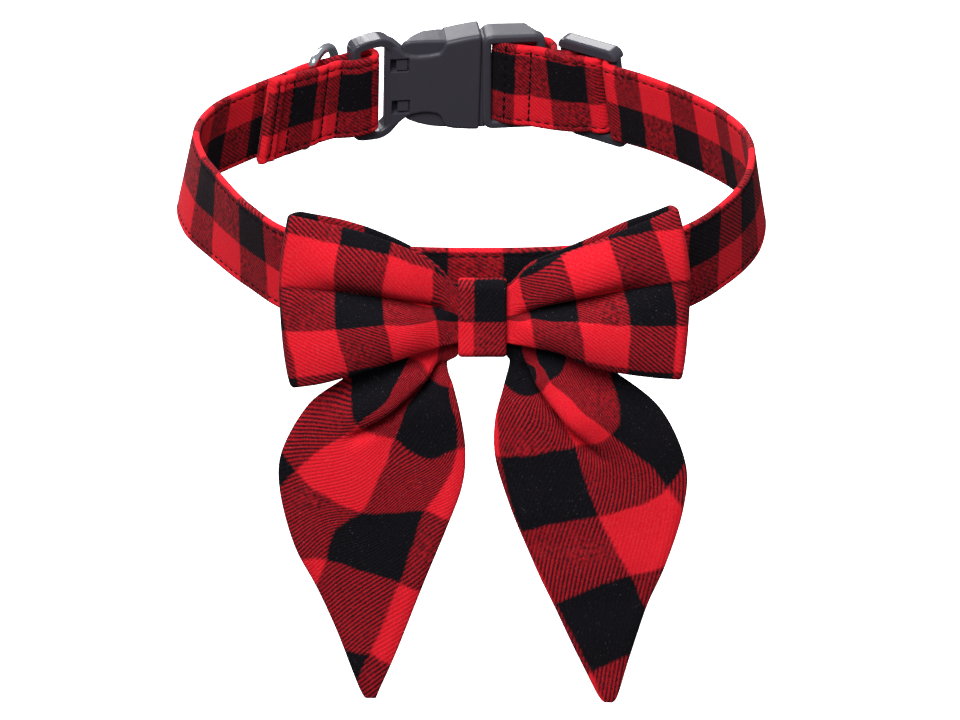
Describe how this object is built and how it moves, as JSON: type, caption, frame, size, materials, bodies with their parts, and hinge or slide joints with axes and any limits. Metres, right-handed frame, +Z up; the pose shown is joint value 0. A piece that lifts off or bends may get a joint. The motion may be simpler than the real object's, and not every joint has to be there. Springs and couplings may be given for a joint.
{
  "type": "pet bow tie collar",
  "caption": "Plaid cloth pet collar with a side-release buckle, a strap slide, a D-ring and a bow with two hanging leaf-shaped tails.",
  "frame": {"origin": "the middle of the collar's loop, halfway up the strap's width", "axes": "+Z up along the neck, -Y towards the bow, +Y towards the buckle, +X to the right of a person who faces the bow"},
  "size_m": [0.1603, 0.1639, 0.146],
  "materials": {
    "plaid_flannel": "brushed cotton twill woven in red and black checks",
    "buckle_plastic": "black moulded plastic with a satin surface",
    "ring_steel": "plated steel wire, polished"
  },
  "bodies": {
    "collar": {"collar_strap": "plaid_flannel", "female_buckle": "buckle_plastic", "male_buckle": "buckle_plastic", "tri_glide": "buckle_plastic", "bow_wings": "plaid_flannel", "bow_knot": "plaid_flannel", "tail_left": "plaid_flannel", "tail_right": "plaid_flannel"},
    "ring": {"d_ring": "ring_steel"}
  },
  "joints": [
    {"name": "d_ring_swing", "type": "hinge", "parent": "collar", "child": "ring", "pos_m": [-0.0474, 0.0525, 0], "axis": [0.1279, -0.1416, 0.9816], "range_deg": [-8, 128]}
  ]
}
